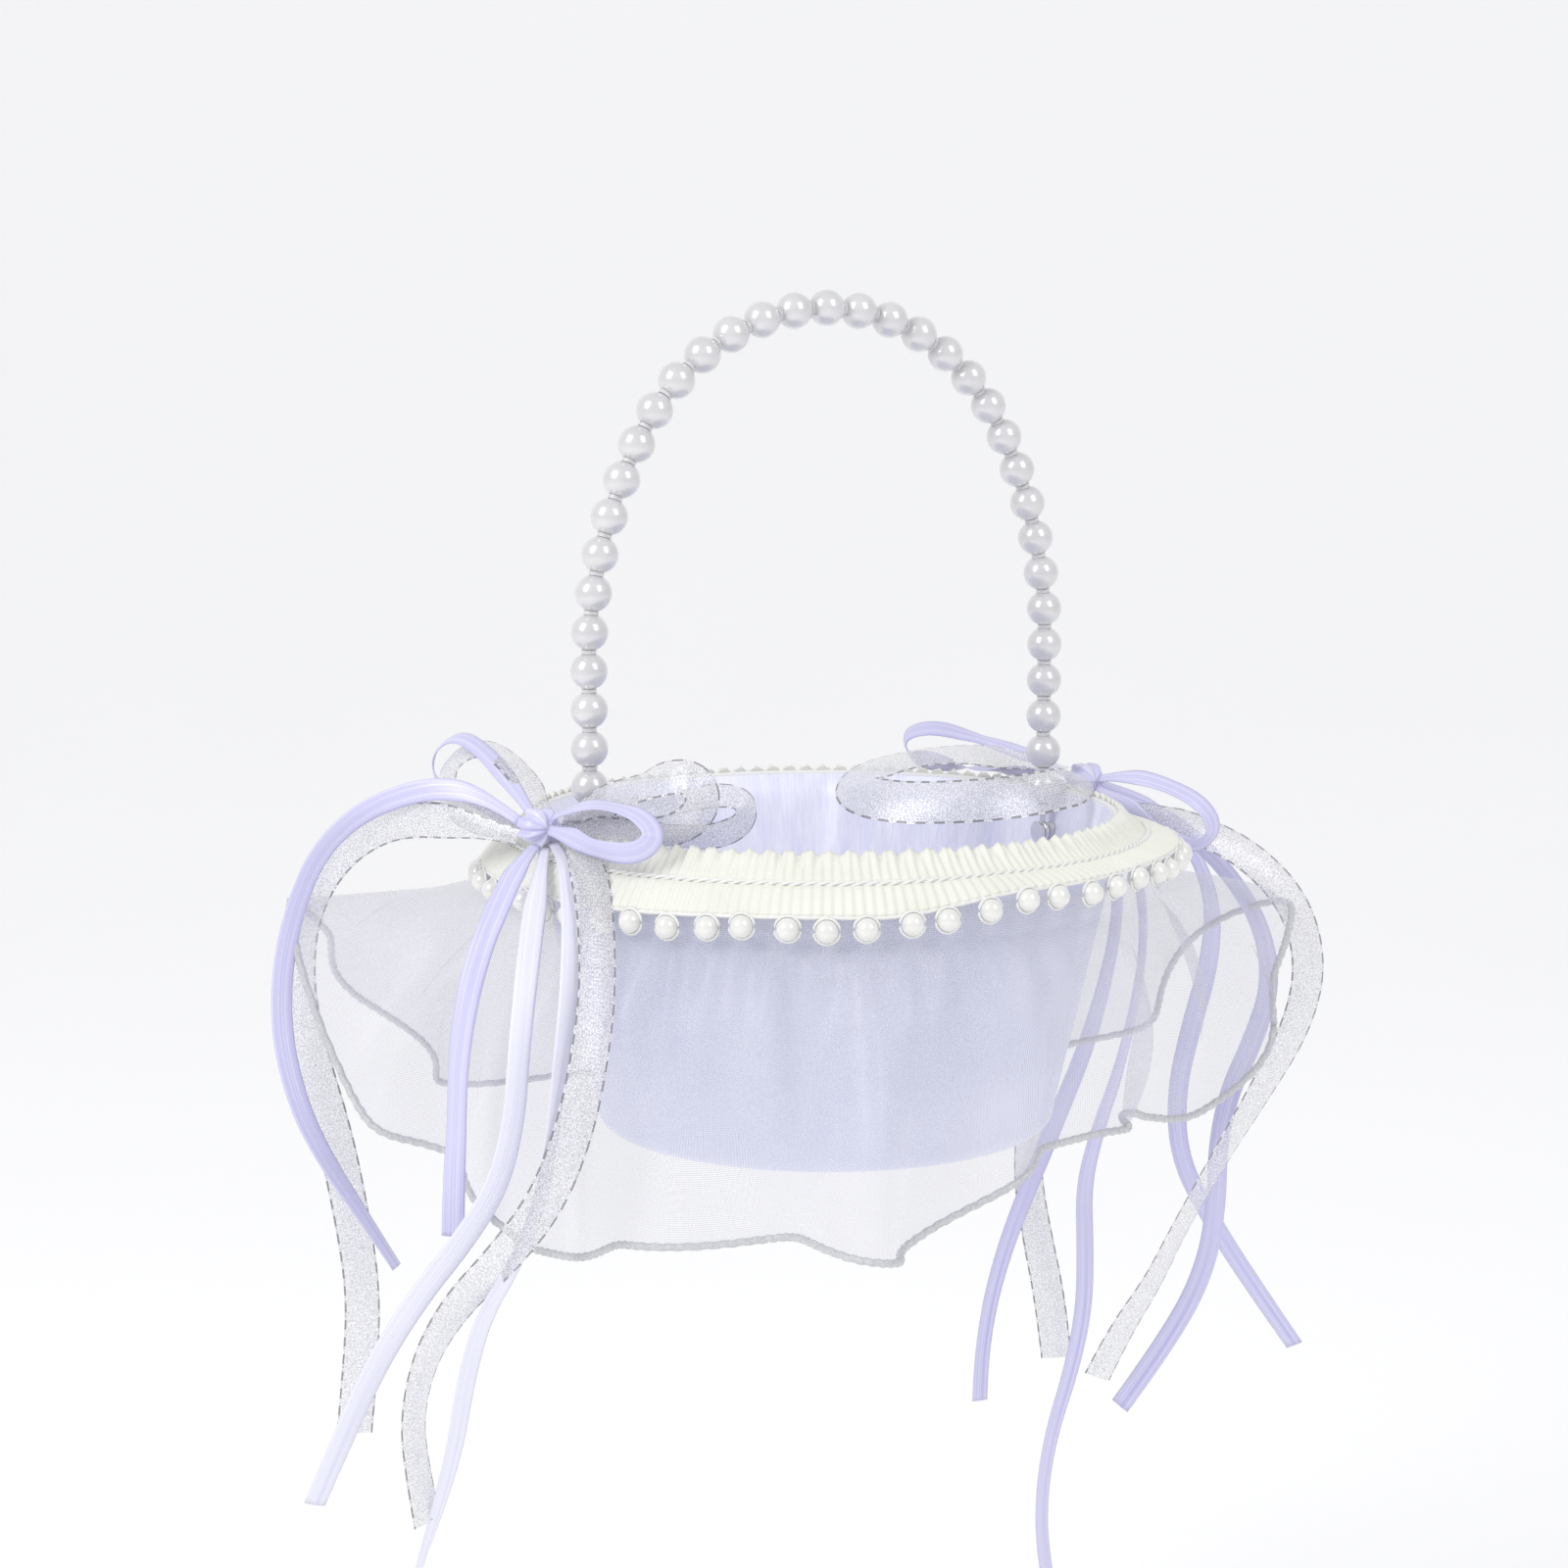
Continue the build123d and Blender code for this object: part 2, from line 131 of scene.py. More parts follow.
def tubeAlong(points, radius, sides, ribs=0, ribDepth=0.0):
    # a round section carried along a closed line; ribs gives the number of twisted swellings along it
    tangents = unit(np.roll(points, -1, 0) - np.roll(points, 1, 0))
    across = unit(np.cross(tangents, [0.0, 0.0, 1.0]))
    other = np.cross(across, tangents)
    angle = np.linspace(0, 2 * math.pi, sides, endpoint=False)
    along = np.arange(len(points)) / len(points)
    swell = radius * (1 + ribDepth * np.cos(2 * math.pi * ribs * along[:, None] + angle[None, :]))
    ring = (across[:, None, :] * np.cos(angle)[None, :, None]
            + other[:, None, :] * np.sin(angle)[None, :, None])
    verts = (points[:, None, :] + ring * swell[..., None]).reshape(-1, 3)
    faces = gridFaces(len(points), sides, closeRows=True, closeColumns=True, otherDiagonal=True)
    uv = np.stack([np.tile(angle / (2 * math.pi), len(points)), np.repeat(along, sides)], -1)
    return verts, faces, uv


def joined(shapes):
    # puts several (verts, faces, uv) together as one
    offset = 0
    verts, faces, uvs = [], [], []
    for v, f, uv in shapes:
        verts.append(v)
        faces.append(f + offset)
        uvs.append(uv)
        offset += len(v)
    return np.concatenate(verts), np.concatenate(faces), np.concatenate(uvs)


def solidify(piece, thickness):
    # half of the thickness on each side of the surface
    wall = piece.modifiers.new("wall", "SOLIDIFY")
    wall.thickness = thickness
    wall.offset = 0.0


class Sock:
    # a node socket that takes part in Python expressions
    def __init__(self, tree, socket):
        self.tree = tree
        self.socket = socket

    def math(self, operation, other=None, swapped=False):
        values = [self] if other is None else [self, other]
        if swapped:
            values = values[::-1]
        return makeNode(self.tree, "ShaderNodeMath", {"operation": operation}, values)

    def __add__(self, other):
        return self.math("ADD", other)

    def __radd__(self, other):
        return self.math("ADD", other, True)

    def __sub__(self, other):
        return self.math("SUBTRACT", other)

    def __rsub__(self, other):
        return self.math("SUBTRACT", other, True)

    def __mul__(self, other):
        return self.math("MULTIPLY", other)

    def __rmul__(self, other):
        return self.math("MULTIPLY", other, True)


def makeNode(tree, kind, settings=None, values=(), output=0):
    # a node with its settings, then its sockets: by order for a list, by name for a dictionary
    node = tree.nodes.new(kind)
    for key, value in (settings or {}).items():
        setattr(node, key, value)
    pairs = values.items() if isinstance(values, dict) else enumerate(values)
    for key, value in pairs:
        if isinstance(value, Sock):
            tree.links.new(value.socket, node.inputs[key])
        else:
            node.inputs[key].default_value = value
    return Sock(tree, node.outputs[output])


class Material:
    # a Principled material and the nodes its formulas use
    def __init__(self, name, **sockets):
        self.material = bpy.data.materials.new(name)
        self.material.use_nodes = True
        self.tree = self.material.node_tree
        self.shader = self.tree.nodes["Principled BSDF"]
        for key, value in sockets.items():
            self.shader.inputs[key.replace("_", " ")].default_value = value

    def set(self, socket, value):
        self.tree.links.new(value.socket, self.shader.inputs[socket])

    def place(self, scale=(1, 1, 1), uv=False):
        # Object coordinates, or the piece's own UV map, stretched by scale
        source = makeNode(self.tree, "ShaderNodeTexCoord", output=2 if uv else 3)
        return makeNode(self.tree, "ShaderNodeMapping", None, {"Vector": source, "Scale": scale})

    def noise(self, vector, scale, detail):
        return makeNode(self.tree, "ShaderNodeTexNoise", None,
                        {"Vector": vector, "Scale": scale, "Detail": detail, "Roughness": 0.5})

    def part(self, vector, axis):
        return makeNode(self.tree, "ShaderNodeSeparateXYZ", None, [vector], output=axis)

    def mix(self, factor, a, b):
        return makeNode(self.tree, "ShaderNodeMix", {"data_type": "RGBA"}, {0: factor, 6: a, 7: b}, output=2)

    def bump(self, height, strength, distance):
        self.set("Normal", makeNode(self.tree, "ShaderNodeBump", None,
                                    {"Height": height, "Strength": strength, "Distance": distance}))


def rgb(r, g, b):
    return (r, g, b, 1.0)


def greyPearl():
    m = Material("greyPearl", Roughness=0.22, Metallic=0.3, Coat_Weight=0.8, Coat_Roughness=0.05)
    cloud = m.noise(m.place(), 160.0, 2.0)
    m.set("Base Color", m.mix(cloud, rgb(0.64, 0.635, 0.65), rgb(0.78, 0.775, 0.785)))
    m.bump(m.noise(m.place(), 900.0, 2.0), 0.06, 0.0004)
    return m.material


def whitePearl():
    m = Material("whitePearl", Roughness=0.18, Metallic=0.1, Coat_Weight=0.8, Coat_Roughness=0.05)
    cloud = m.noise(m.place(), 220.0, 2.0)
    m.set("Base Color", m.mix(cloud, rgb(0.74, 0.74, 0.70), rgb(0.88, 0.88, 0.85)))
    m.bump(m.noise(m.place(), 1200.0, 2.0), 0.05, 0.0003)
    return m.material


def satin(name, paintedShadeTone, paintedSheenTone, threads, sheenStreakScale):
    # warp threads run along V: fine ridges across U and long soft streaks; both lighten and darken the base
    # colour as painted sheen and painted shade, between a shaded tone and a sheen tone
    m = Material(name, Roughness=0.3, Sheen_Weight=0.25, Sheen_Roughness=0.3, Specular_IOR_Level=0.7)
    fine = m.noise(m.place((threads, 12.0, 1.0), uv=True), 1.0, 2.0)
    paintedSheenStreak = m.noise(m.place((sheenStreakScale, 3.0, 1.0), uv=True), 1.0, 2.0)
    # painted sheen and painted shade: the thread ridges (real weave) and the long streaks (painted sheen)
    # pick the base colour between the shaded tone and the sheen tone
    weaveAndPaintedSheen = ((0.5 * fine + 0.5 * paintedSheenStreak - 0.5) * 2.6 + 0.55).math("MINIMUM", 1.0).math("MAXIMUM", 0.0)
    m.set("Base Color", m.mix(weaveAndPaintedSheen, paintedShadeTone, paintedSheenTone))
    m.set("Roughness", 0.22 + 0.2 * fine)
    m.bump(fine, 0.35, 0.0003)
    return m.material


def organza(name, low, high, colourA, colourB, warps, wefts, glitter=0.0):
    # sheer plain weave: crossing threads in U and V let more or less show through
    m = Material(name, Roughness=0.35, Sheen_Weight=0.3, Specular_IOR_Level=0.6)
    grid = m.place((warps, wefts, 1.0), uv=True)
    threadU = (m.part(grid, 0) * (2 * math.pi)).math("SINE") * 0.5 + 0.5
    threadV = (m.part(grid, 1) * (2 * math.pi)).math("SINE") * 0.5 + 0.5
    weave = threadU.math("MAXIMUM", threadV)
    cloud = m.noise(m.place(), 60.0, 3.0)
    cover = low + (high - low) * (0.6 * weave + 0.4 * cloud)
    if glitter:
        # a ribbon's own cloth: sparks all over, and a dashed border along both edges
        edge = (m.part(m.place(uv=True), 0) - 0.5).math("ABSOLUTE") * 2.0
        border = edge.math("GREATER_THAN", 0.9)
        cover = cover + 0.35 * border
        sparkle = m.noise(m.place(), 2600.0, 1.0)
        spark = (sparkle - 0.5) * 5.0 + 0.5
        dash = (m.part(grid, 1) * 1.4).math("SINE").math("GREATER_THAN", -0.2)
        cloth = m.mix(spark.math("MINIMUM", 1.0).math("MAXIMUM", 0.0), colourA, colourB)
        m.set("Base Color", m.mix(border * dash * 0.8, cloth, rgb(0.16, 0.16, 0.18)))
        m.set("Metallic", glitter * sparkle)
    else:
        m.set("Base Color", m.mix(cloud, colourA, colourB))
    m.set("Alpha", cover.math("MINIMUM", 1.0))
    m.bump(weave, 0.15, 0.0002)
    return m.material


def braidCloth():
    m = Material("ivoryBraid", Roughness=0.55, Sheen_Weight=0.3)
    thread = m.noise(m.place((900.0, 60.0, 1.0), uv=True), 1.0, 3.0)
    shade = m.noise(m.place(), 90.0, 3.0)
    m.set("Base Color", m.mix(0.5 * thread + 0.5 * shade, rgb(0.70, 0.71, 0.62), rgb(0.90, 0.90, 0.84)))
    m.bump(thread, 0.3, 0.0003)
    return m.material


def threadCloth():
    m = Material("whiteThread", Roughness=0.5, Sheen_Weight=0.3)
    fibre = m.noise(m.place(), 1500.0, 3.0)
    m.set("Base Color", m.mix(fibre, rgb(0.74, 0.74, 0.72), rgb(0.92, 0.92, 0.90)))
    m.bump(fibre, 0.3, 0.0003)
    return m.material


def hemThread():
    m = Material("hemThread", Roughness=0.4, Sheen_Weight=0.2)
    fibre = m.noise(m.place(), 1200.0, 3.0)
    m.set("Base Color", m.mix(fibre, rgb(0.50, 0.51, 0.53), rgb(0.78, 0.78, 0.80)))
    m.set("Alpha", 0.62 + 0.3 * fibre)
    m.bump(fibre, 0.3, 0.0003)
    return m.material


def wireMetal():
    m = Material("brightWire", Metallic=1.0)
    scratch = m.noise(m.place(), 700.0, 3.0)
    m.set("Base Color", m.mix(scratch, rgb(0.62, 0.62, 0.63), rgb(0.8, 0.8, 0.81)))
    m.set("Roughness", 0.22 + 0.2 * scratch)
    return m.material


def clearPlastic():
    m = Material("clearPlastic", Roughness=0.25, Coat_Weight=0.3)
    cloud = m.noise(m.place(), 500.0, 2.0)
    m.set("Base Color", m.mix(cloud, rgb(0.72, 0.72, 0.74), rgb(0.9, 0.9, 0.92)))
    m.set("Alpha", 0.55 + 0.3 * cloud)
    return m.material


def cardBoard():
    m = Material("card", Roughness=0.8)
    pulp = m.noise(m.place(), 350.0, 4.0)
    m.set("Base Color", m.mix(pulp, rgb(0.74, 0.74, 0.74), rgb(0.88, 0.88, 0.88)))
    m.bump(pulp, 0.2, 0.0004)
    return m.material


materials = {
    "greyPearl": greyPearl(), "whitePearl": whitePearl(),
    # in each satin, the first colour is its painted shade tone and the second its painted sheen tone
    "ribbonSatin": satin("ribbonSatin", rgb(0.46, 0.44, 0.77), rgb(0.80, 0.79, 0.95), 26.0, 5.0),
    "paleSatin": satin("paleSatin", rgb(0.70, 0.70, 0.88), rgb(0.92, 0.92, 0.98), 26.0, 5.0),
    "bowlSatin": satin("bowlSatin", rgb(0.66, 0.68, 0.86), rgb(0.74, 0.76, 0.91), 900.0, 22.0),
    "liningSatin": satin("liningSatin", rgb(0.70, 0.71, 0.89), rgb(0.90, 0.90, 0.98), 700.0, 90.0),
    "organza": organza("organza", 0.17, 0.45, rgb(0.48, 0.48, 0.57), rgb(0.74, 0.74, 0.80), 1500.0, 160.0),
    "ribbonOrganza": organza("ribbonOrganza", 0.42, 0.75, rgb(0.48, 0.48, 0.52), rgb(0.92, 0.92, 0.95),
                             16.0, 900.0, 0.4),
    "braid": braidCloth(), "thread": threadCloth(), "hem": hemThread(), "wire": wireMetal(),
    "clear": clearPlastic(), "card": cardBoard(),
}


def paint(piece, name):
    piece.data.materials.clear()
    piece.data.materials.append(materials[name])


# Each ribbon: route from the knot in millimetres, length in metres, the way its face looks (degrees round
# from +X, and up), its twist at the start and at the end in degrees, and how much of a loop's face looks
# outwards. A width in millimetres stands where it differs from the cut below.
ribbons = {
    "satin_tail_left_1": {
        "length": 0.188, "face": (240, 12), "twist": (0, 60), "finish": "ribbonSatin",
        "route": [
            (-92, 5, -135), (-98, 13, -129), (-106, 23, -127), (-115, 33, -130), (-124, 41, -136),
            (-132, 47, -146), (-138, 49, -160), (-142, 50, -177), (-143, 49, -196), (-140, 45, -215),
            (-134, 41, -230), (-126, 35, -245), (-119, 29, -259)]},
    "satin_tail_left_2": {
        "length": 0.114, "face": (235, 10), "twist": (0, -15), "finish": "ribbonSatin",
        "route": [
            (-92, -5, -140), (-101, -12, -144), (-109, -19, -151), (-117, -24, -161), (-123, -27, -175),
            (-126, -28, -191), (-127, -29, -207), (-128, -29, -221), (-128, -28, -235)]},
    "satin_tail_left_3": {
        "length": 0.203, "face": (240, 5), "twist": (10, 20), "finish": "paleSatin",
        "route": [
            (-90, -6, -141), (-97, -17, -147), (-105, -29, -156), (-112, -39, -169), (-117, -45, -185),
            (-120, -48, -202), (-124, -46, -219), (-131, -39, -234), (-139, -30, -249), (-147, -22, -267),
            (-154, -16, -287), (-160, -10, -306)]},
    "satin_tail_left_4": {
        "length": 0.231, "face": (250, 5), "twist": (20, 60), "finish": "paleSatin",
        "route": [
            (-87, -5, -140), (-91, -20, -142), (-97, -36, -151), (-104, -48, -168), (-110, -55, -184),
            (-114, -58, -202), (-117, -57, -220), (-122, -52, -237), (-128, -45, -252), (-131, -41, -269),
            (-133, -38, -288), (-137, -35, -305), (-141, -32, -320), (-143, -30, -333)]},
    "organza_tail_left_1": {
        "length": 0.227, "face": (240, 10), "twist": (0, 10),
        "route": [
            (-93, 4, -139), (-100, 16, -137), (-108, 29, -136), (-117, 42, -139), (-126, 53, -149),
            (-132, 60, -165), (-134, 60, -184), (-132, 56, -203), (-128, 50, -224), (-125, 46, -246),
            (-123, 43, -268), (-124, 43, -288), (-126, 44, -309)]},
    "organza_tail_left_2": {
        "length": 0.215, "face": (240, 5), "twist": (0, 50),
        "route": [
            (-84, -5, -136), (-87, -20, -139), (-91, -36, -147), (-97, -50, -168), (-104, -59, -184),
            (-110, -62, -202), (-117, -60, -220), (-126, -53, -235), (-134, -43, -248), (-140, -36, -263),
            (-143, -34, -279), (-142, -35, -293), (-140, -36, -306)]},
    "satin_loop_left_1": {
        "length": 0.095, "face": (240, 10), "outward": 0.6, "finish": "ribbonSatin",
        "route": [
            (-88, 5, -134), (-89, 16, -126), (-92, 28, -118), (-95, 38, -115), (-99, 45, -121),
            (-99, 43, -129), (-95, 32, -133), (-91, 19, -136), (-89, 6, -138)]},
    "satin_loop_left_2": {
        "length": 0.09, "face": (240, 25), "outward": 0.55, "finish": "ribbonSatin",
        "route": [
            (-88, -6, -133), (-86, -18, -128), (-83, -30, -127), (-80, -41, -128), (-79, -48, -133),
            (-83, -44, -138), (-88, -32, -138), (-89, -19, -136), (-89, -6, -136)]},
    "organza_loop_left_1": {
        "length": 0.078, "face": (240, 10), "outward": 0.5,
        "route": [
            (-84, 5, -134), (-84, 15, -127), (-87, 25, -120), (-92, 33, -118), (-100, 34, -124),
            (-102, 27, -133), (-96, 17, -137), (-90, 6, -137)]},
    "organza_loop_left_2": {
        "length": 0.103, "face": (240, 10), "outward": 0.45,
        "route": [
            (-84, -6, -134), (-81, -17, -129), (-76, -29, -124), (-72, -40, -119), (-67, -47, -119),
            (-65, -48, -126), (-69, -42, -133), (-76, -30, -135), (-82, -17, -136), (-85, -6, -137)]},
    "organza_loop_left_3": {
        "length": 0.106, "face": (240, 20), "outward": 0.45, "width": 7.0,
        "route": [
            (-84, -5, -133), (-78, -17, -131), (-67, -28, -129), (-57, -37, -125), (-50, -43, -126),
            (-50, -42, -133), (-57, -36, -137), (-68, -26, -136), (-79, -15, -135), (-85, -5, -136)]},
    "satin_tail_right_1": {
        "length": 0.233, "face": (240, 5), "twist": (40, 20), "finish": "ribbonSatin",
        "route": [
            (92, 5, -141), (101, 11, -146), (112, 19, -156), (121, 27, -171), (127, 36, -190),
            (129, 45, -211), (127, 52, -232), (122, 58, -252), (116, 62, -271), (108, 64, -290),
            (102, 66, -311), (99, 67, -332), (98, 66, -345)]},
    "satin_tail_right_2": {
        "length": 0.29, "face": (240, 5), "twist": (50, 30), "finish": "ribbonSatin",
        "route": [
            (93, 2, -141), (103, 6, -148), (114, 12, -159), (123, 18, -174), (129, 24, -193),
            (130, 30, -214), (128, 35, -235), (124, 40, -254), (121, 43, -272), (122, 43, -292),
            (122, 43, -312), (118, 44, -332), (112, 46, -352), (109, 47, -372), (109, 46, -392),
            (112, 44, -410)]},
    "satin_tail_right_3": {
        "length": 0.221, "face": (240, 5), "twist": (40, -40), "finish": "ribbonSatin",
        "route": [
            (92, -3, -139), (102, -9, -143), (114, -16, -151), (126, -21, -164), (136, -24, -180),
            (140, -24, -198), (136, -21, -215), (129, -19, -230), (125, -19, -246), (125, -19, -264),
            (122, -18, -284), (113, -13, -305), (100, -6, -326)]},
    "satin_tail_right_4": {
        "length": 0.21, "face": (240, 5), "twist": (60, -50), "finish": "ribbonSatin",
        "route": [
            (93, 0, -137), (104, -1, -141), (117, -2, -149), (129, -2, -162), (136, -1, -178),
            (137, 2, -196), (133, 5, -215), (129, 7, -236), (130, 6, -256), (137, 1, -273),
            (148, -5, -293), (161, -13, -315)]},
    "organza_tail_right_1": {
        "length": 0.221, "face": (240, 5), "twist": (20, 0),
        "route": [
            (90, 6, -141), (97, 14, -146), (107, 25, -156), (115, 36, -170), (121, 47, -188),
            (123, 56, -209), (121, 62, -231), (117, 66, -252), (116, 67, -273), (119, 65, -294),
            (123, 63, -315), (125, 62, -334)]},
    "organza_tail_right_2": {
        "length": 0.221, "face": (240, 5), "twist": (20, 40),
        "route": [
            (92, -5, -142), (101, -13, -145), (112, -23, -149), (125, -32, -157), (136, -39, -171),
            (140, -42, -189), (136, -41, -207), (127, -36, -226), (117, -31, -245), (107, -24, -268),
            (101, -20, -284), (93, -15, -299), (87, -12, -313)]},
    "satin_loop_right_1": {
        "length": 0.125, "face": (240, 20), "outward": 0.6, "finish": "ribbonSatin",
        "route": [
            (88, 6, -136), (87, 17, -133), (83, 29, -130), (76, 40, -127), (67, 49, -124), (61, 56, -127),
            (64, 57, -134), (73, 48, -136), (82, 35, -137), (88, 20, -138), (89, 6, -139)]},
    "satin_loop_right_2": {
        "length": 0.083, "face": (240, 20), "outward": 0.6, "finish": "ribbonSatin",
        "route": [
            (89, -6, -135), (93, -15, -133), (99, -25, -135), (106, -33, -140), (110, -35, -148),
            (106, -30, -154), (98, -23, -149), (92, -14, -141), (88, -6, -138)]},
    "organza_loop_right_1": {
        "length": 0.177, "face": (240, 45), "outward": 0.3, "width": 13.0,
        "route": [
            (85, -5, -135), (78, -15, -134), (64, -23, -134), (47, -25, -135), (32, -19, -136),
            (20, -6, -137), (15, 8, -136), (21, 18, -133), (36, 22, -130), (53, 23, -129), (68, 22, -130),
            (80, 16, -132), (86, 6, -134)]},
}
ribbonCut = {"satinWidth": 6.0, "organzaWidth": 10.0, "thickness": 0.22, "across": 9, "splineSteps": 14,
             "cup": 0.10, "sheerCup": 0.15, "endShare": 0.12, "endWidth": 0.45, "waver": 0.25, "waverRate": 9}


def ribbonPiece(name, facts):
    # a flat band whose middle is the spline; its face turns with the twist or looks out of a loop's middle
    points = splinePoints(name, facts["route"])
    tangents = lineTangents(points)
    sheer = name.startswith("organza")
    loop = "outward" in facts
    width = facts.get("width", ribbonCut["organzaWidth" if sheer else "satinWidth"]) * mm
    a, e = (math.radians(v) for v in facts["face"])
    look = np.array([math.cos(a) * math.cos(e), math.sin(a) * math.cos(e), math.sin(e)])
    along = np.linspace(0, 1, len(points))
    facing = np.tile(look, (len(points), 1))
    if loop:
        facing = unit(unit(points - points.mean(0)) * facts["outward"] + facing * (1 - facts["outward"]))
    facing = unit(facing - tangents * np.sum(facing * tangents, 1, keepdims=True))
    side = np.cross(tangents, facing)
    if not loop:
        first, last = (math.radians(v) for v in facts["twist"])
        waver = ribbonCut["waver"] * np.sin(along * ribbonCut["waverRate"] + len(name))
        turn = (first + (last - first) * along + waver)[:, None]
        side, facing = (side * np.cos(turn) + facing * np.sin(turn),
                        facing * np.cos(turn) - side * np.sin(turn))
    # the band narrows where it goes into the knot
    narrow = ribbonCut["endShare"]
    ends = smoothstep(0.0, narrow, along) * (smoothstep(0.0, narrow, 1 - along) if loop else 1.0)
    half = width / 2 * (ribbonCut["endWidth"] + (1 - ribbonCut["endWidth"]) * ends)
    across = np.linspace(-1, 1, ribbonCut["across"])
    cup = ribbonCut["sheerCup" if sheer else "cup"] * half[:, None] * (1 - across[None, :] ** 2)
    verts = (points[:, None, :] + side[:, None, :] * (across[None, :] * half[:, None])[..., None]
             + facing[:, None, :] * cup[..., None])
    run = np.concatenate([[0], np.cumsum(np.linalg.norm(np.diff(points, axis=0), axis=1))])
    uv = np.stack([np.tile(across / 2 + 0.5, len(points)), np.repeat(run, len(across))], -1)
    piece = addPiece(name + "_ribbon", verts.reshape(-1, 3), gridFaces(len(points), len(across)), uv)
    if not sheer:
        solidify(piece, ribbonCut["thickness"] * mm)
    paint(piece, facts.get("finish", "ribbonOrganza"))
    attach(piece, "basket")
    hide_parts(name)


for ribbonName, ribbonFacts in ribbons.items():
    ribbonPiece(ribbonName, ribbonFacts)
print("ribbons made:", len(ribbons))


# The collar of ribbed braid: radii, drops and heights in millimetres, flare and front in degrees, the lift's
# places in radians to the right of the front, and everything called a share in parts of the slope.
collar = {"ribs": 224, "samples": 8, "topRadius": 82.34, "topDrop": 140.0, "width": 17.5, "flare": 47.0,
          "topShare": -0.12, "outerRows": 24, "innerRows": 5,
          "wall": 1.6, "ribHeight": 0.55, "unevenness": 0.4, "roundReach": 0.56, "roundLeast": 0.05,
          "stitchAt": 0.42, "stitchWidth": 0.05, "stitchDip": 0.35,
          "scallops": 100, "scallopHeight": 1.6, "scallopReach": 0.07,
          "front": 239.5, "lift": 6.0, "liftRise": (0.1, 0.55), "liftFall": (1.7, 2.4), "liftFrom": 0.3,
          "liftOut": 0.35, "ripple": 0.5, "ripples": 5}


def collarLift(angle):
    # the lower edge rises from a little right of the front round to the right foot and behind it
    right = np.angle(np.exp(1j * (angle - math.radians(collar["front"]))))
    risen = smoothstep(*collar["liftRise"], right) * (1 - smoothstep(*collar["liftFall"], right))
    return collar["lift"] * risen + collar["ripple"] * np.sin(collar["ripples"] * angle)


def collarPoint(angle, share, height):
    # share of the way down the collar's slope, height off its inner face in millimetres
    flare = math.radians(collar["flare"])
    run = share * collar["width"]
    lift = collarLift(angle) * np.clip(share - collar["liftFrom"], 0, None) / (1 - collar["liftFrom"])
    radius = (collar["topRadius"] + run * math.sin(flare) + height * math.cos(flare)
              + collar["liftOut"] * lift)
    z = -collar["topDrop"] - run * math.cos(flare) + height * math.sin(flare) + lift
    return np.stack([radius * np.cos(angle), radius * np.sin(angle), z], -1) * mm


def makeBraid():
    # ribs: a cosine round the collar, parted where the stitched cord lies; the inner face is plain
    count = collar["ribs"] * collar["samples"]
    angle = np.linspace(0, 2 * math.pi, count, endpoint=False)[:, None]
    outerRows, innerRows = collar["outerRows"], collar["innerRows"]
    share = np.concatenate([np.linspace(collar["topShare"], 1, outerRows),
                            np.linspace(1, collar["topShare"], innerRows)])[None, :]
    outer = np.concatenate([np.ones(outerRows), np.zeros(innerRows)])[None, :]
    rib = 0.5 + 0.5 * np.cos(collar["ribs"] * angle)
    wobble = 0.25 * np.sin(37 * angle) + 0.2 * np.sin(61 * angle + 1)
    stitch = np.exp(-((share - collar["stitchAt"]) / collar["stitchWidth"]) ** 2)
    rounding = np.sqrt(np.clip(1 - ((share - 0.5) / collar["roundReach"]) ** 2, collar["roundLeast"], 1))
    wall = collar["wall"] * rounding * (1 - collar["stitchDip"] * stitch)
    height = outer * (wall + collar["ribHeight"] * (rib + collar["unevenness"] * wobble) * (1 - stitch))
    points = collarPoint(angle, share, height)
    scallop = collar["scallopHeight"] * np.abs(np.sin(collar["scallops"] / 2 * angle))
    points[..., 2] += scallop * np.exp(-np.clip(share, 0, 1) / collar["scallopReach"]) * mm
    uv = np.stack(np.broadcast_arrays(angle / (2 * math.pi), share), -1).reshape(-1, 2)
    faces = gridFaces(count, share.shape[1], closeRows=True, closeColumns=True)
    piece = addPiece("ribbedBraid", points.reshape(-1, 3), faces, uv)
    paint(piece, "braid")
    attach(piece, "basket")
    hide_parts("rim_braid")


braidCord = {"steps": 1400, "twists": 90, "strand": 0.42, "spread": 0.38, "height": 0.9, "sides": 6}


def makeBraidCord():
    # two strands twisted round each other along the parting of the ribs
    angle = np.linspace(0, 2 * math.pi, braidCord["steps"], endpoint=False)
    middle = collarPoint(angle, collar["stitchAt"], collar["wall"] * braidCord["height"])
    strands = []
    for phase in (0, math.pi):
        spin = braidCord["twists"] * angle + phase
        shift = np.stack([np.cos(angle) * np.cos(spin), np.sin(angle) * np.cos(spin), np.sin(spin)], -1)
        line = middle + shift * braidCord["spread"] * mm
        strands.append(tubeAlong(line, braidCord["strand"] * mm, braidCord["sides"]))
    piece = addPiece("stitchedCord", *joined(strands))
    paint(piece, "thread")
    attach(piece, "basket")
    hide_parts("braid_cord")


makeBraid()
makeBraidCord()
print("braid made")


# The pearl trim: radii, places and thicknesses in millimetres, spread as a part of the pearls' spacing.
trim = {"count": 58, "radius": 2.95, "rings": 15, "sides": 24,
        "spread": 0.07, "spreadRate": 2.4, "hang": 3.1, "hangSpread": 0.5, "hangRate": 1.7,
        "seat": 0.6, "outward": 0.9,
        "loop": 3.3, "loopIn": 0.4, "loopSteps": 22, "loopThread": 0.42, "loopSides": 5,
        "edgeSeat": 0.3, "edgeSteps": 24, "edgeThread": 0.6, "edgeSides": 6}


def trimAngles():
    # even steps round the rim, each shifted by a sine
    order = np.arange(trim["count"])
    shift = trim["spread"] * np.sin(order * trim["spreadRate"])
    return (order + 0.5 + shift) * (2 * math.pi / trim["count"])


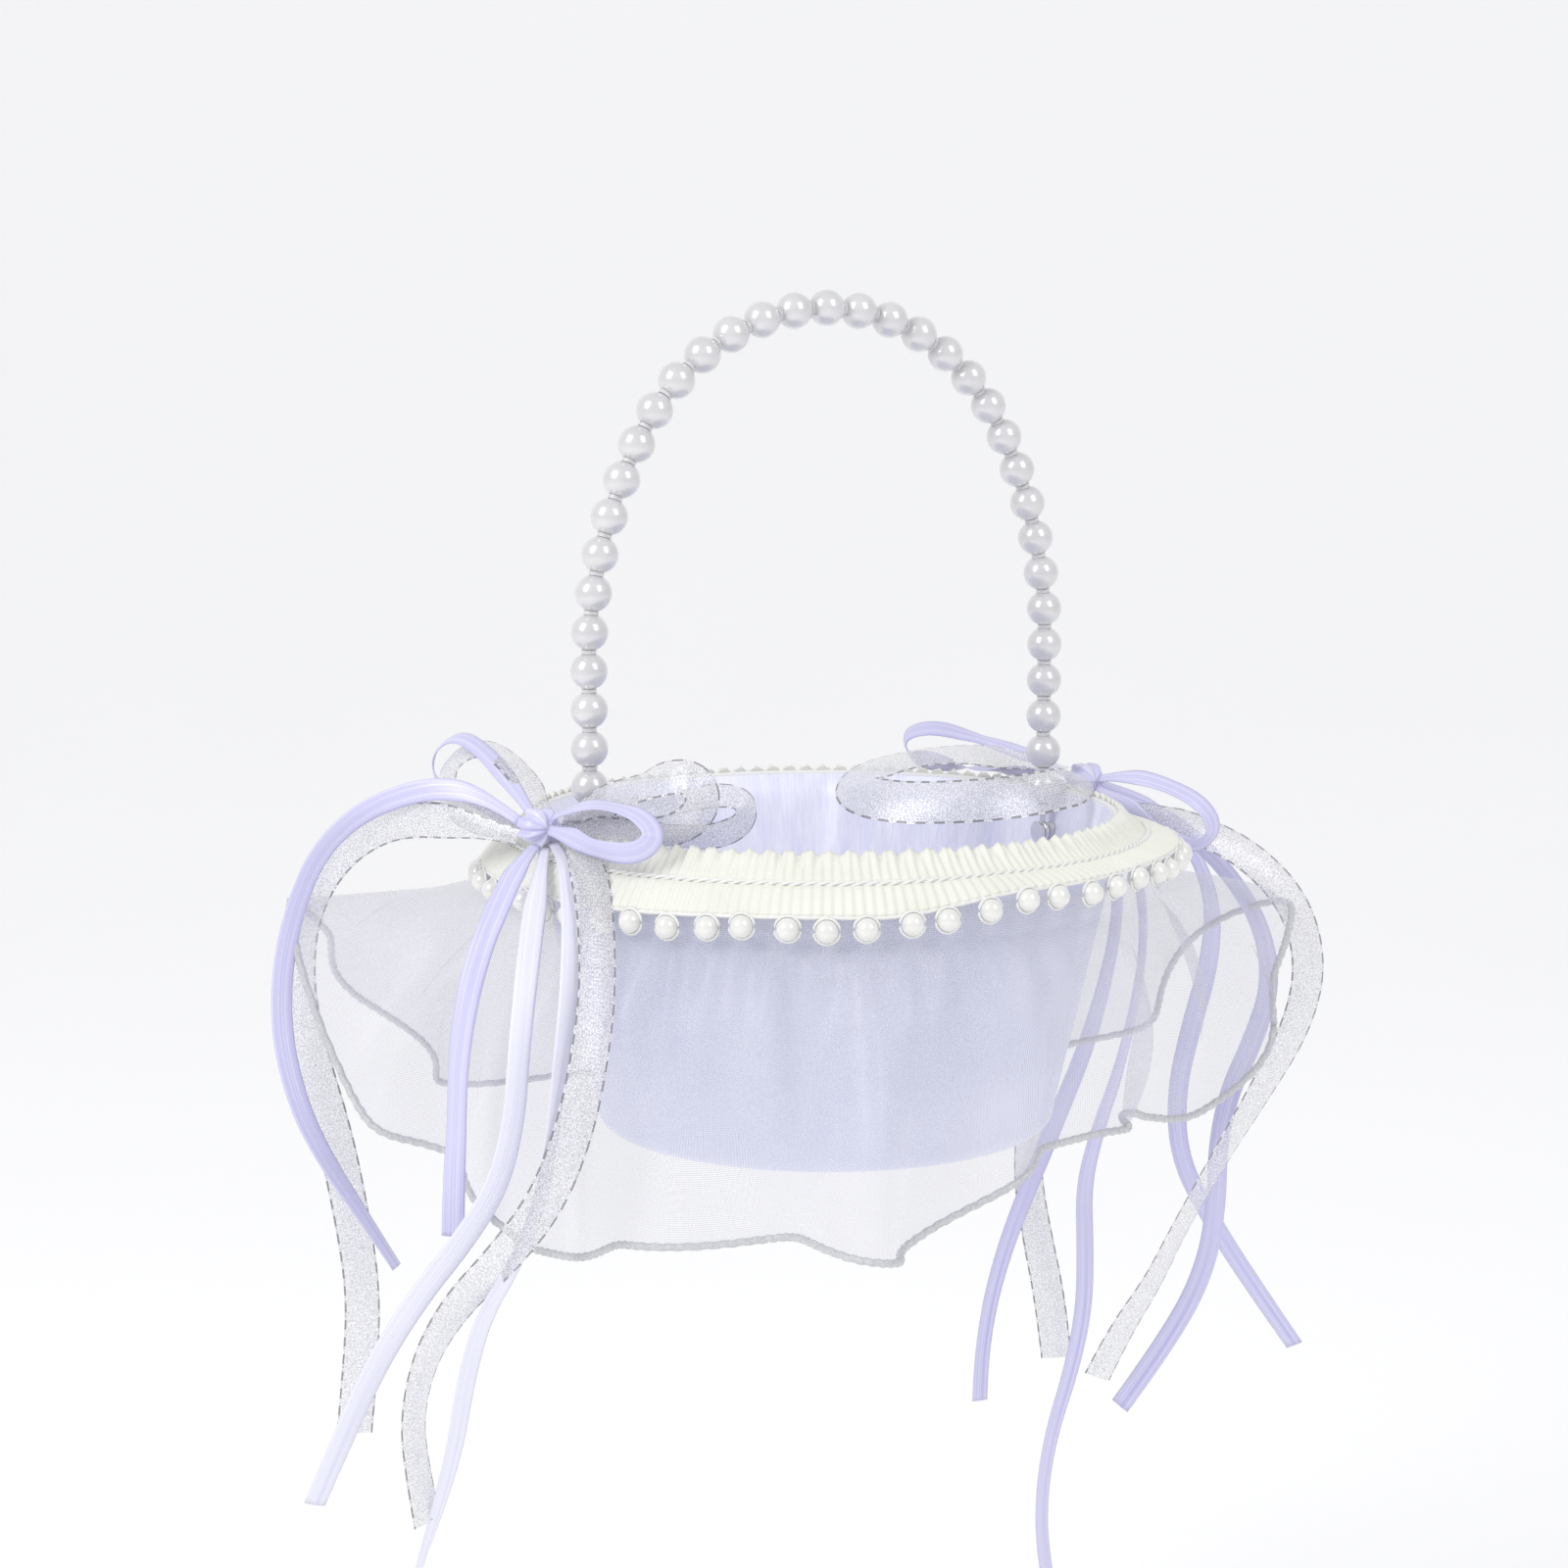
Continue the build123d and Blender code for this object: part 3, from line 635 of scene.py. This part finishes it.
def trimCentres():
    # each pearl hangs a little below and outside the braid's lower edge
    centres = collarPoint(trimAngles(), 1.0, trim["seat"])
    hang = trim["hang"] + trim["hangSpread"] * np.sin(np.arange(trim["count"]) * trim["hangRate"])
    centres[:, 2] -= hang * mm
    radius = np.linalg.norm(centres[:, :2], axis=1, keepdims=True)
    centres[:, :2] *= 1 + trim["outward"] * mm / radius
    return centres


def makeTrimPearls():
    # one ball of rings from pole to pole, copied to every centre
    rings, sides = trim["rings"], trim["sides"]
    lat, lon = np.meshgrid(np.linspace(0, math.pi, rings), np.linspace(0, 2 * math.pi, sides, endpoint=False),
                           indexing="ij")
    ball = np.stack([np.sin(lat) * np.cos(lon), np.sin(lat) * np.sin(lon), np.cos(lat)], -1).reshape(-1, 3)
    faces = gridFaces(rings, sides, closeColumns=True)
    uv = np.stack([lon.ravel() / (2 * math.pi), lat.ravel() / math.pi], -1)
    balls = [(centre + ball * trim["radius"] * mm, faces, uv) for centre in trimCentres()]
    piece = addPiece("trimPearls", *joined(balls))
    paint(piece, "whitePearl")
    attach(piece, "basket")
    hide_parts("trim_pearls")


def makeTrimThread():
    # one thread along the braid's edge, and a round loop of thread at every pearl
    angle = np.linspace(0, 2 * math.pi, trim["count"] * trim["edgeSteps"], endpoint=False)
    edge = collarPoint(angle, 1.0, trim["edgeSeat"])
    threads = [tubeAlong(edge, trim["edgeThread"] * mm, trim["edgeSides"])]
    turn = np.linspace(0, 2 * math.pi, trim["loopSteps"], endpoint=False)
    for centre, at in zip(trimCentres(), trimAngles()):
        radial = np.array([math.cos(at), math.sin(at), 0.0])
        around = np.array([-math.sin(at), math.cos(at), 0.0])
        ring = np.outer(np.cos(turn), around) + np.outer(np.sin(turn), [0, 0, 1.0])
        line = centre + ring * trim["loop"] * mm - radial * trim["loopIn"] * mm
        threads.append(tubeAlong(line, trim["loopThread"] * mm, trim["loopSides"]))
    piece = addPiece("trimThread", *joined(threads))
    paint(piece, "thread")
    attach(piece, "basket")
    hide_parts("trim_thread")


makeTrimPearls()
makeTrimThread()
print("pearl trim made")


# The satin bowl, in millimetres: a wave is its count round the bowl, its height, how far it drifts on its way
# down and how much of the cup's seed it takes; fades are the shares of the depth where folds start and stop.
bowl = {"slope": 0.2326, "corner": 5.0, "cornerIn": 0.77, "wallSteps": 44, "cornerSteps": 8, "floorSteps": 10,
        "around": 560, "foldsStart": (0.0, 0.06), "foldsStop": (0.85, 0.97),
        "waves": [(17, 1.0, 2.2, 1), (29, 0.7, -3.0, 2), (43, 0.5, 1.5, 0)]}
# Each cup: roll is its top edge, in (radius, drop), where it turns out over the hoop to the braid.
cups = {
    "satinCover": {"node": "satin_cover", "finish": "bowlSatin", "topRadius": 82.9, "topDrop": 140.6,
                   "bottomDrop": 226.0, "folds": 1.1, "seed": 0.4, "roll": [], "otherDiagonal": False,
                   "held": "stretched", "area": 0.052},
    "satinLining": {"node": "satin_lining", "finish": "liningSatin", "topRadius": 79.5, "topDrop": 139.2,
                    "bottomDrop": 221.0, "folds": 2.1, "seed": 1.3, "otherDiagonal": True,
                    "roll": [(81.4, 139.4), (80.9, 138.9), (80.4, 138.7), (79.9, 138.8), (79.6, 139.0)],
                    "held": "gathered", "area": 0.050},
}


def cupProfile(cup):
    # straight sloping wall, round corner, flat bottom to the middle
    corner, slope = bowl["corner"], bowl["slope"]
    lowRadius = cup["topRadius"] - (cup["bottomDrop"] - cup["topDrop"]) * slope
    wallEnd = cup["bottomDrop"] - corner
    wall = np.linspace(0, 1, bowl["wallSteps"])
    turn = np.linspace(0, math.pi / 2, bowl["cornerSteps"])[1:]
    floor = np.linspace(1, 0.0, bowl["floorSteps"])[1:]
    radii = [cup["topRadius"] - (wallEnd - cup["topDrop"]) * slope * wall,
             lowRadius + corner * slope - corner * (1 - np.cos(turn)),
             (lowRadius - corner * bowl["cornerIn"]) * floor]
    drops = [cup["topDrop"] + (wallEnd - cup["topDrop"]) * wall, wallEnd + corner * np.sin(turn),
             cup["bottomDrop"] + 0 * floor]
    return np.concatenate(radii), np.concatenate(drops)


def makeCup(name, cup):
    # the profile turned round the axis; folds are sums of sines round the bowl that drift as they go down
    radius, drop = cupProfile(cup)
    angle = np.linspace(0, 2 * math.pi, bowl["around"], endpoint=False)[:, None]
    depth = (drop - cup["topDrop"]) / (cup["bottomDrop"] - cup["topDrop"])
    if cup["roll"]:
        rollRadii, rollDrops = np.array(cup["roll"]).T
        radius = np.concatenate([rollRadii, radius])
        drop = np.concatenate([rollDrops, drop])
        depth = np.concatenate([np.zeros(len(rollDrops)), depth])
    radius, drop, depth = radius[None, :], drop[None, :], depth[None, :]
    fold = sum(height * np.sin(count * angle + drift * depth + share * cup["seed"])
               for count, height, drift, share in bowl["waves"]) / sum(wave[1] for wave in bowl["waves"])
    fade = smoothstep(*bowl["foldsStart"], depth) * (1 - smoothstep(*bowl["foldsStop"], depth))
    r = radius + cup["folds"] * (fold * 0.5 - 0.5) * fade
    points = np.stack([r * np.cos(angle), r * np.sin(angle), -drop + 0 * r], -1) * mm
    # the satin's threads run down the wall, and straight across the flat bottom
    flat = drop >= cup["bottomDrop"] - 0.01
    u = np.where(flat, points[..., 0] / (2 * math.pi * cup["topRadius"] * mm), angle / (2 * math.pi))
    v = np.where(flat, points[..., 1] / (100 * mm), drop / 100)
    uv = np.stack([u, v], -1).reshape(-1, 2)
    faces = gridFaces(bowl["around"], radius.shape[1], closeRows=True, otherDiagonal=cup["otherDiagonal"])
    piece = addPiece(name, points.reshape(-1, 3), faces, uv)
    paint(piece, cup["finish"])
    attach(piece, "basket")
    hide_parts(cup["node"])


for cupName, cupFacts in cups.items():
    makeCup(cupName, cupFacts)
print("satin bowl made")


# The organza ruffle: radii, drops and heights in millimetres, hemLength and strip in metres. A pair is how
# many folds go round, and how high they are; a lean is how far the folds tip sideways, in radians.
ruffle = {"gatherRadius": 92.0, "gatherDrop": 158.8, "headingDrop": 149.6, "hemLength": 0.886, "strip": 0.081,
          "around": 1080, "rows": 44, "headingRows": 6, "bulge": 7.0,
          "pleats": 52, "pleatHeight": 0.9, "pleatPlace": 0.12, "pleatReach": 0.2, "headingPleat": 0.5,
          "middleFolds": (19, 4.4), "middleRipples": (31, 1.6), "middleReach": 0.85,
          "slowFolds": (9, 5.5), "slowRipples": (14, 3.6), "slowStart": (0.15, 0.9),
          "hemWaves": (13, 1.8), "hemStart": (0.3, 1.0),
          "foldLean": 0.05, "leanStart": (0.2, 1.0), "rippleLean": 0.03,
          "hemRadius": 1.0, "hemSides": 8, "hemRibs": 300, "hemRibDepth": 0.16}
# The hem's line: degrees round from +X, radius and drop.
hem = [
    (0, 124, 196), (15, 116, 222), (30, 118, 234), (45, 114, 240), (60, 112, 240), (75, 114, 240),
    (90, 118, 238), (105, 122, 234), (120, 128, 226), (133, 139, 203), (146, 150, 172), (156, 148, 163),
    (166, 128, 206), (177, 122, 222), (190, 118, 234), (203, 113, 238), (216, 110, 236), (229, 108, 231),
    (242, 110, 234), (255, 108, 232), (268, 100, 220), (281, 96, 212), (294, 98, 212), (307, 101, 216),
    (320, 108, 216), (333, 129, 184), (346, 141, 172),
]


def hemLine(angle):
    # periodic cubic through the hem's points, in degrees, with the four points beside each place
    table = np.array(hem, dtype=float)
    span = np.concatenate([table[-2:] - [360, 0, 0], table, table[:3] + [360, 0, 0]])
    at = np.clip(np.searchsorted(span[:, 0], angle, side="right") - 1, 1, len(span) - 3)
    t = ((angle - span[at, 0]) / (span[at + 1, 0] - span[at, 0]))[:, None]
    p0, p1, p2, p3 = (span[at + k, 1:] for k in (-1, 0, 1, 2))
    return 0.5 * (2 * p1 + (p2 - p0) * t + (2 * p0 - 5 * p1 + 4 * p2 - p3) * t ** 2
                  + (3 * p1 - p0 - 3 * p2 + p3) * t ** 3)


def waves(pair, a, phase):
    # a sine round the basket, with its count and its height
    count, height = pair
    return np.sin(count * a + phase) * height


def rufflePoints():
    # from the gathered edge to the hem: many small gathers at the top give way to fewer, larger folds
    angle = np.linspace(0, 360, ruffle["around"], endpoint=False)
    line = hemLine(angle)
    a = np.radians(angle)[:, None]
    t = np.linspace(0, 1, ruffle["rows"])[None, :]
    gather, gatherDrop = ruffle["gatherRadius"], ruffle["gatherDrop"]
    r = gather + (line[:, :1] - gather) * t ** 0.95 + ruffle["bulge"] * np.sin(math.pi * t ** 0.8)
    drop = gatherDrop + (line[:, 1:] - gatherDrop) * t ** 1.1
    small = (np.sin(ruffle["pleats"] * a + 1.5 * np.sin(3 * a)) * ruffle["pleatHeight"]
             * np.exp(-((t - ruffle["pleatPlace"]) / ruffle["pleatReach"]) ** 2))
    middle = (waves(ruffle["middleFolds"], a, 1.2 * np.sin(2 * a) + 1.5 * t)
              + waves(ruffle["middleRipples"], a, 2.0))
    middle = middle * np.sin(math.pi * t * ruffle["middleReach"])
    slow = waves(ruffle["slowFolds"], a, 0.8) + waves(ruffle["slowRipples"], a, -1.0)
    r = r + small + middle + slow * smoothstep(*ruffle["slowStart"], t)
    drop = drop + waves(ruffle["hemWaves"], a, 0.5) * smoothstep(*ruffle["hemStart"], t)
    lean = ruffle["foldLean"] * np.cos(ruffle["slowFolds"][0] * a + 0.8) * smoothstep(*ruffle["leanStart"], t)
    turn = a + lean + ruffle["rippleLean"] * np.cos(ruffle["middleFolds"][0] * a) * t
    body = np.stack([r * np.cos(turn), r * np.sin(turn), -drop + 0 * r], -1)
    # the heading stands up inside the braid above the gathered edge
    rise = np.linspace(ruffle["headingDrop"], gatherDrop, ruffle["headingRows"])[None, :-1]
    share = (rise - ruffle["headingDrop"]) / (gatherDrop - ruffle["headingDrop"])
    headRadius = gather + ruffle["headingPleat"] * np.sin(ruffle["pleats"] * a) * share
    head = np.stack([headRadius * np.cos(a), headRadius * np.sin(a), -rise + 0 * headRadius], -1)
    return np.concatenate([head, body], 1) * mm, angle


def makeRuffle():
    points, angle = rufflePoints()
    count, columns = points.shape[:2]
    uv = np.stack([np.repeat(angle / 360, columns), np.tile(np.linspace(0, 1, columns), count)], -1)
    piece = addPiece("organzaRuffle", points.reshape(-1, 3), gridFaces(count, columns, closeRows=True), uv)
    paint(piece, "organza")
    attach(piece, "basket")
    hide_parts("organza_ruffle")
    edge = addPiece("rolledHem", *tubeAlong(points[:, -1], ruffle["hemRadius"] * mm, ruffle["hemSides"],
                                            ruffle["hemRibs"], ruffle["hemRibDepth"]))
    paint(edge, "hem")
    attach(edge, "basket")


makeRuffle()
print("ruffle made")


# The middles of the bows, in millimetres: a crease is how many go round, how deep they are, their phase and
# how soon they fade towards the ends.
knot = {"across": 88.5, "drop": 136.2, "size": (6.0, 5.4, 5.2), "rings": 33, "sides": 64,
        "creases": [(7, 0.35, 1.0, 1), (13, 0.25, 0.0, 2)], "creaseShare": 0.3,
        "waist": 0.10, "waistReach": 0.3}


def makeKnot(side, word):
    # an egg along Y with creases from end to end, drawn in a little round its middle
    u, v = np.meshgrid(np.linspace(0, math.pi, knot["rings"]),
                       np.linspace(0, 2 * math.pi, knot["sides"], endpoint=False), indexing="ij")
    crease = sum(depth * np.sin(count * v + phase) * np.sin(u) ** power
                 for count, depth, phase, power in knot["creases"])
    body = np.stack([np.sin(u) * np.cos(v), np.cos(u), np.sin(u) * np.sin(v)], -1) * np.array(knot["size"])
    body *= (1 + crease * knot["creaseShare"])[..., None]
    waist = 1 - knot["waist"] * np.exp(-(np.cos(u) / knot["waistReach"]) ** 2)
    body[..., 0] *= waist
    body[..., 2] *= waist
    points = (body + np.array([side * knot["across"], 0.0, -knot["drop"]])).reshape(-1, 3) * mm
    uv = np.stack([v.ravel() / (2 * math.pi), u.ravel() / 100], -1)
    faces = gridFaces(knot["rings"], knot["sides"], closeColumns=True)
    piece = addPiece("bowKnot_" + word, points, faces, uv)
    paint(piece, "ribbonSatin")
    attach(piece, "basket")
    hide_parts("bow_knot_" + word)


makeKnot(-1, "left")
makeKnot(1, "right")


# The finishes of the pieces that keep their shape from the frame.
finishes = {
    "handle_pearls": "greyPearl", "pearl_spacers": "clear", "handle_wire": "wire", "crimp_left": "wire",
    "crimp_right": "wire", "foot_rivet_left": "wire", "foot_rivet_right": "wire", "foot_bush_left": "clear",
    "foot_bush_right": "clear", "rim_hoop": "thread", "basket_shell": "card", "base_board": "card",
}
for nodeName, finish in finishes.items():
    for slotHolder in nodes[nodeName].material_slots:
        slotHolder.material = materials[finish]
print("knots and finishes done")


# Floor and light, in metres: a light is its azimuth, elevation, distance, size and power.
studio = {"floorDrop": -0.46, "size": 6.0, "nearEdge": -4.0, "bendStart": 2.0, "bendRadius": 1.5,
          "bendSteps": 24, "wallTop": 5.0, "glow": 0.22, "world": 0.72, "sky": (0.97, 0.975, 1.0, 1),
          "aim": (0, 0, -0.13),
          "lights": {"keyLeft": (-80, 35, 1.2, (0.45, 0.7), 5.6),
                     "keyRight": (15, 35, 1.2, (0.45, 0.7), 2.8)}}


def makeStage():
    # a flat floor that curves up into a wall behind the object
    away = unit(-toCamera * np.array([1, 1, 0]))
    across = np.array([-away[1], away[0], 0.0])
    turn = np.linspace(0, math.pi / 2, studio["bendSteps"])
    start, bend = studio["bendStart"], studio["bendRadius"]
    forward = np.concatenate([[studio["nearEdge"]], start + bend * np.sin(turn), [start + bend]])
    height = np.concatenate([[0.0], bend - bend * np.cos(turn), [studio["wallTop"]]]) + studio["floorDrop"]
    line = away[None, :] * forward[:, None] + np.array([0, 0, 1.0]) * height[:, None]
    verts = np.concatenate([line - across * studio["size"], line + across * studio["size"]])
    count = len(line)
    k = np.arange(count - 1)
    floor = addPiece("floor", verts, np.stack([k, k + 1, k + 1 + count, k + count], -1))
    m = Material("paleFloor", Roughness=0.9, Emission_Color=rgb(1, 1, 1), Emission_Strength=studio["glow"])
    grain = m.noise(m.place(), 3.0, 2.0)
    m.set("Base Color", m.mix(grain, rgb(0.86, 0.86, 0.86), rgb(0.88, 0.88, 0.88)))
    floor.data.materials.append(m.material)


def addLight(name, azimuth, elevation, distance, size, power):
    # a soft rectangular lamp that looks at the aim
    lamp = bpy.data.lights.new(name, "AREA")
    lamp.shape = "RECTANGLE"
    lamp.size, lamp.size_y = size
    lamp.energy = power
    holder = bpy.data.objects.new(name, lamp)
    scene.collection.objects.link(holder)
    way = Vector(directionOf(azimuth, elevation))
    holder.location = Vector(studio["aim"]) + way * distance
    holder.rotation_euler = way.to_track_quat("Z", "Y").to_euler()


makeStage()
for lightName, lightFacts in studio["lights"].items():
    addLight(lightName, *lightFacts)
world = bpy.data.worlds.new("studio")
world.use_nodes = True
world.node_tree.nodes["Background"].inputs["Color"].default_value = studio["sky"]
world.node_tree.nodes["Background"].inputs["Strength"].default_value = studio["world"]
scene.world = world
scene.view_settings.view_transform = "Standard"
print("studio made")
